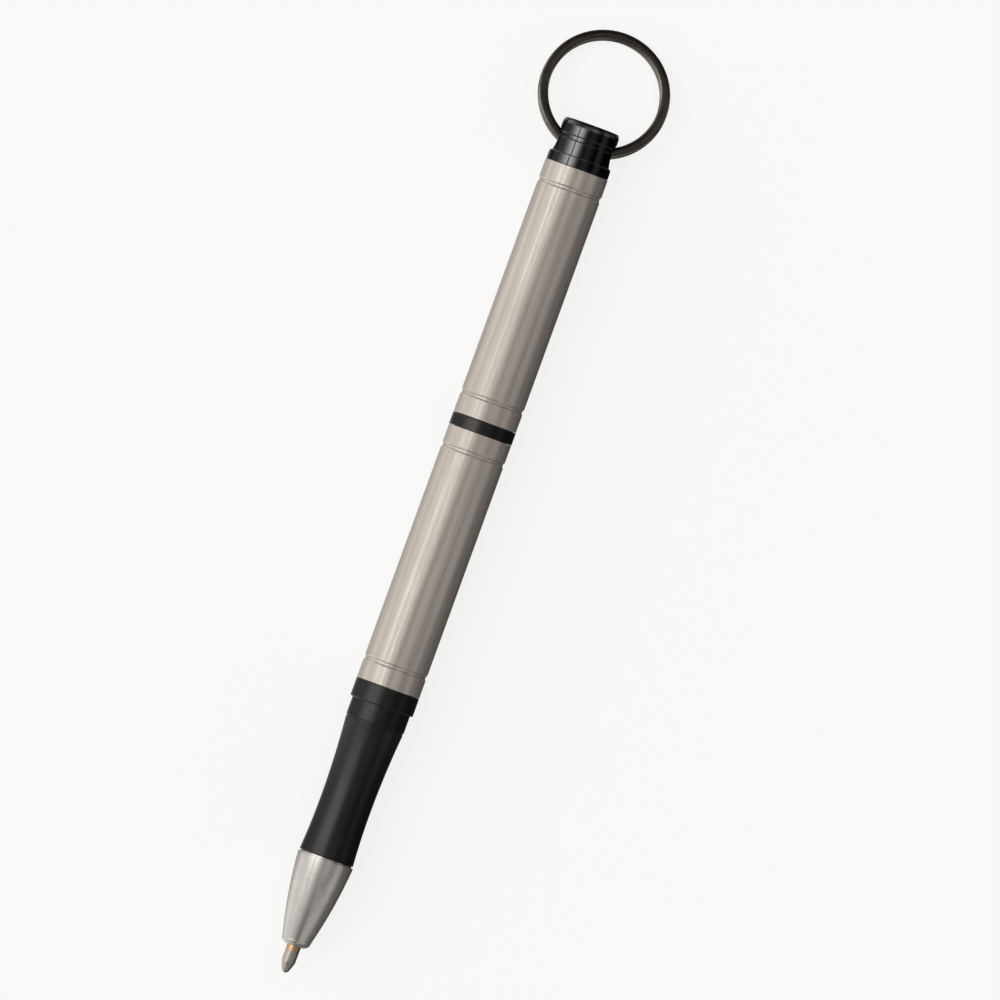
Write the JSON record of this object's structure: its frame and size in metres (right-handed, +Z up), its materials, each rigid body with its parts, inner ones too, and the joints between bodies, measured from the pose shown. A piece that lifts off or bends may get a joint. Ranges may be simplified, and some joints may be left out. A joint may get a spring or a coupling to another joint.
{
  "type": "technical pen",
  "caption": "Slim metal pocket pen with a screw-on writing section, and a pull-off cap on its tail that carries a split key ring.",
  "frame": {"origin": "middle of the footprint, on the surface the pen lies on", "axes": "+X along the pen towards the writing tip, +Z up from the surface it lies on"},
  "size_m": [0.1516, 0.0202, 0.01],
  "materials": {
    "tube_steel": "warm satin, brushed along the pen",
    "plug_gloss_black": "gloss black",
    "satin_black": "satin black",
    "ring_gunmetal": "dark gunmetal plating",
    "cone_steel": "fine turned satin",
    "brass": "machined",
    "spring_steel": "drawn wire",
    "seal_rubber": "matte",
    "refill_brass": "drawn tube",
    "float_plastic": "moulded",
    "ink": "thick ink",
    "holder_copper": "bright turned",
    "tip_steel": "bright turned",
    "ball_carbide": "polished"
  },
  "bodies": {
    "barrel": {"barrel_tube": "tube_steel", "tail_band": "satin_black", "tail_plug": "plug_gloss_black", "thread_bush": "brass", "refill_spring": "spring_steel"},
    "cap": {"cap_tube": "tube_steel", "cap_end_plug": "plug_gloss_black"},
    "key_ring": {"key_ring": "ring_gunmetal"},
    "refill": {"refill_tube": "refill_brass", "refill_end_plug": "refill_brass", "ink_float": "float_plastic", "ink_column": "ink", "tip_holder": "holder_copper", "writing_tip": "tip_steel"},
    "writing_section": {"thread_shank": "brass", "thread_seal": "seal_rubber", "grip_section": "satin_black", "nose_cone": "cone_steel"},
    "ball": {"writing_ball": "ball_carbide"}
  },
  "joints": [
    {"name": "cap_pull", "type": "slide", "parent": "barrel", "child": "cap", "axis": [-1, 0, 0], "range_m": [0, 0.02]},
    {"name": "key_ring_swing", "type": "hinge", "parent": "cap", "child": "key_ring", "pos_m": [-0.05729, 0, 0.00501], "axis": [0, 1, 0], "range_deg": [-145, 170]},
    {"name": "section_advance", "type": "slide", "parent": "barrel", "child": "refill", "axis": [1, 0, 0], "range_m": [0, 0.00375], "deforming": ["refill_spring"]},
    {"name": "section_screw", "type": "hinge", "parent": "refill", "child": "writing_section", "pos_m": [0.04704, 0, 0.00501], "axis": [1, 0, 0], "range_deg": [0, 1800]},
    {"name": "ball_roll", "type": "hinge", "parent": "refill", "child": "ball", "pos_m": [0.07526, 0, 0.00501], "axis": [0, 1, 0], "continuous": true}
  ],
  "couplings": [
    {"joint": "section_screw", "follows": "section_advance", "rad_per_m": 8377.6}
  ]
}
